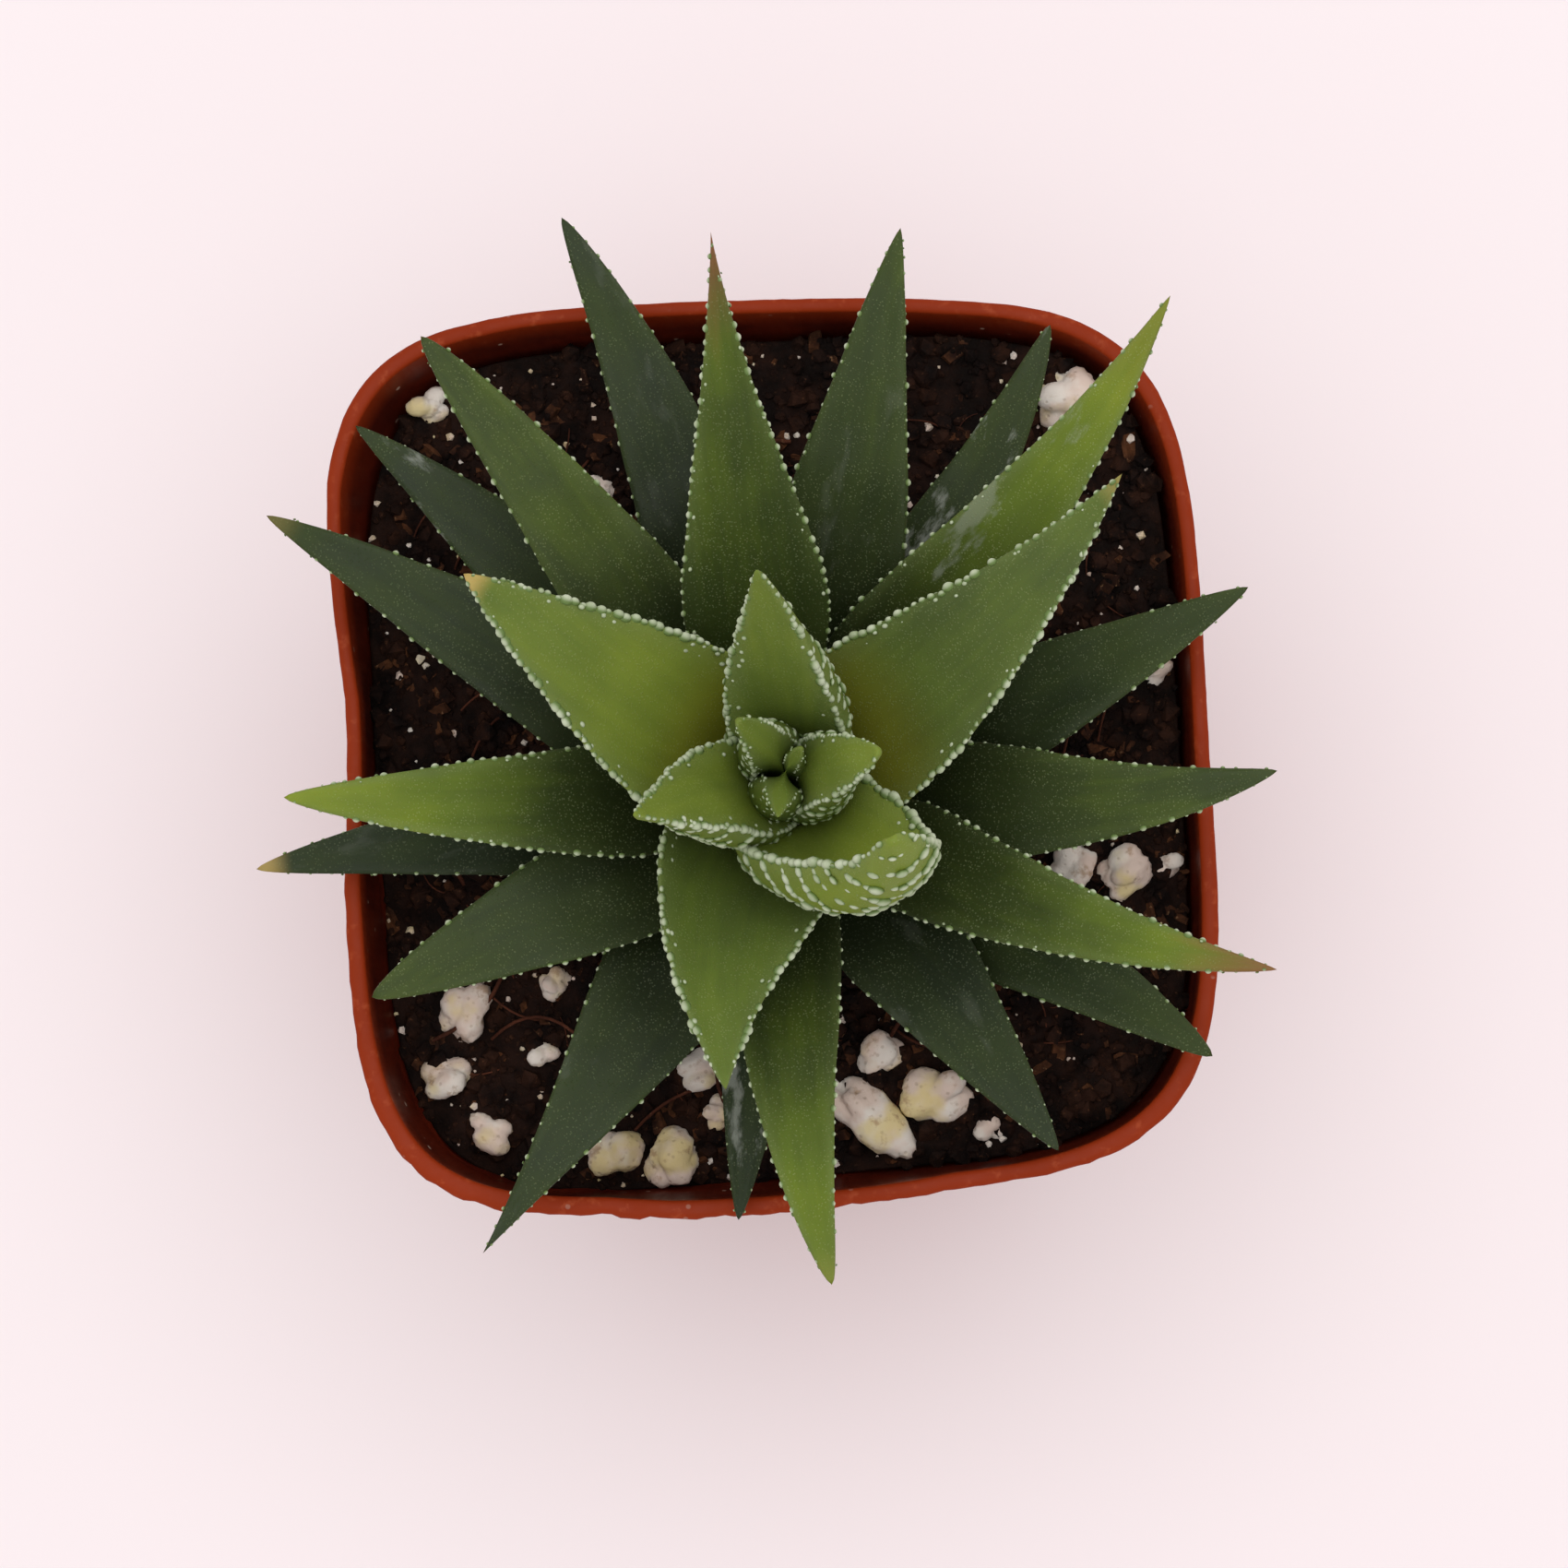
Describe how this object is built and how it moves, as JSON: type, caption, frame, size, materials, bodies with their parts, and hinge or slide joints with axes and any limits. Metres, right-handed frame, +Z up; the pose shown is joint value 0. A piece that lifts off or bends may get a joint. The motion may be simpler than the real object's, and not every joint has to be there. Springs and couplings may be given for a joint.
{
  "type": "potted succulent plant",
  "caption": "Small rosette succulent with pointed, white-toothed leaves in a rounded square nursery pot filled with dark soil and pale grains.",
  "frame": {"origin": "centre of the pot's flat underside", "axes": "+Z up through the pot; +X and +Y along the pot's two pairs of sides, -Y towards the viewer's lower edge"},
  "size_m": [0.0695, 0.0736, 0.0907],
  "materials": {
    "pot_plastic": "satin moulded plastic, terracotta orange",
    "soil_earth": null,
    "stem_skin": "plant tissue, matt; leather stands in for living tissue",
    "leaf_skin": "waxy green leaf with white raised teeth; leather stands in for living tissue",
    "grain_mineral": "rough expanded mineral, cream white"
  },
  "bodies": {
    "root": {"pot": "pot_plastic", "soil": "soil_earth", "stem": "stem_skin", "leaf_01": "leaf_skin", "leaf_02": "leaf_skin", "leaf_03": "leaf_skin", "leaf_04": "leaf_skin", "leaf_05": "leaf_skin", "leaf_06": "leaf_skin", "leaf_07": "leaf_skin", "leaf_08": "leaf_skin", "leaf_09": "leaf_skin", "leaf_10": "leaf_skin", "leaf_11": "leaf_skin", "leaf_12": "leaf_skin", "leaf_13": "leaf_skin", "leaf_14": "leaf_skin", "leaf_15": "leaf_skin", "leaf_16": "leaf_skin", "leaf_17": "leaf_skin", "leaf_18": "leaf_skin", "leaf_19": "leaf_skin", "leaf_20": "leaf_skin", "leaf_21": "leaf_skin", "leaf_22": "leaf_skin", "leaf_23": "leaf_skin", "leaf_24": "leaf_skin", "leaf_25": "leaf_skin", "leaf_26": "leaf_skin", "leaf_27": "leaf_skin", "leaf_28": "leaf_skin", "leaf_29": "leaf_skin", "grain_01": "grain_mineral", "grain_02": "grain_mineral", "grain_03": "grain_mineral", "grain_04": "grain_mineral", "grain_05": "grain_mineral", "grain_06": "grain_mineral", "grain_07": "grain_mineral", "grain_08": "grain_mineral", "grain_09": "grain_mineral", "grain_10": "grain_mineral", "grain_11": "grain_mineral", "grain_12": "grain_mineral", "grain_13": "grain_mineral", "grain_14": "grain_mineral", "grain_15": "grain_mineral", "grain_16": "grain_mineral", "grain_17": "grain_mineral", "grain_18": "grain_mineral", "grain_19": "grain_mineral", "grain_20": "grain_mineral"}
  },
  "joints": []
}
